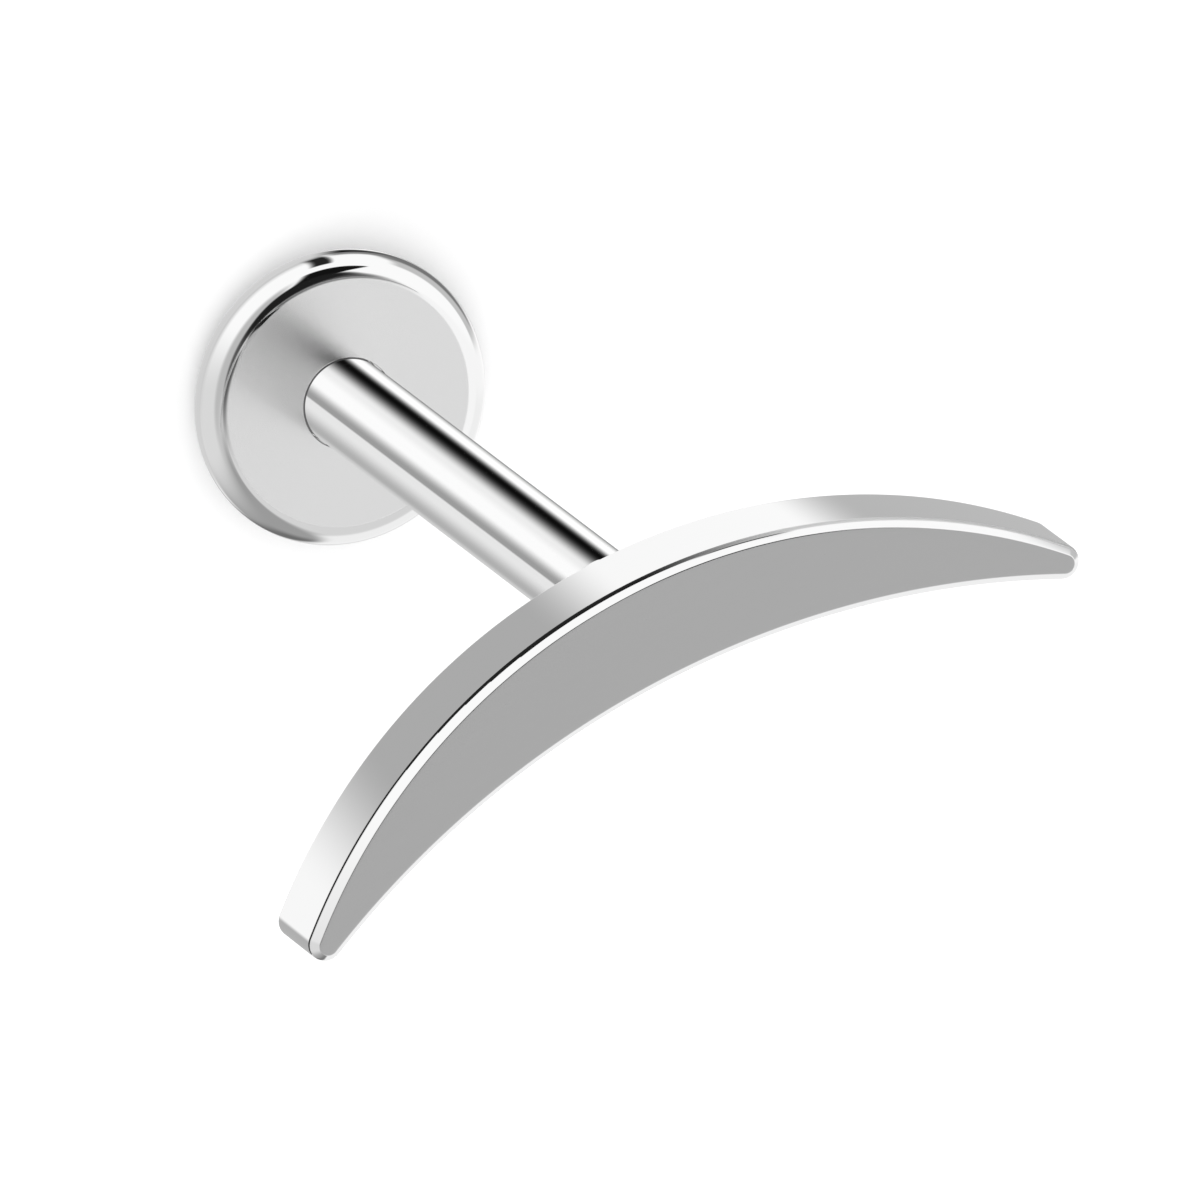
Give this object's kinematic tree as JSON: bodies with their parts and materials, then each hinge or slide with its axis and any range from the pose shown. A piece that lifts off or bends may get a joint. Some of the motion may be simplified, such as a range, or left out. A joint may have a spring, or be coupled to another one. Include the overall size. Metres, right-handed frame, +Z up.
{
  "type": "labret stud",
  "caption": "Flat-back labret stud: a round back disc, a straight round post and a bevelled crescent plate with rounded tips across its end.",
  "frame": {"origin": "centre of the flat underside of the back disc, on the post's axis", "axes": "+Z up the post from the back disc to the crescent, X along the crescent from tip to tip, +Y towards the crescent's hollow side"},
  "size_m": [0.0114, 0.0041, 0.012],
  "materials": {
    "polished_titanium": "mirror-polished titanium, pale grey, with very fine polishing lines"
  },
  "bodies": {
    "root": {"back_disc": "polished_titanium", "post": "polished_titanium", "crescent_top": "polished_titanium"}
  },
  "joints": []
}
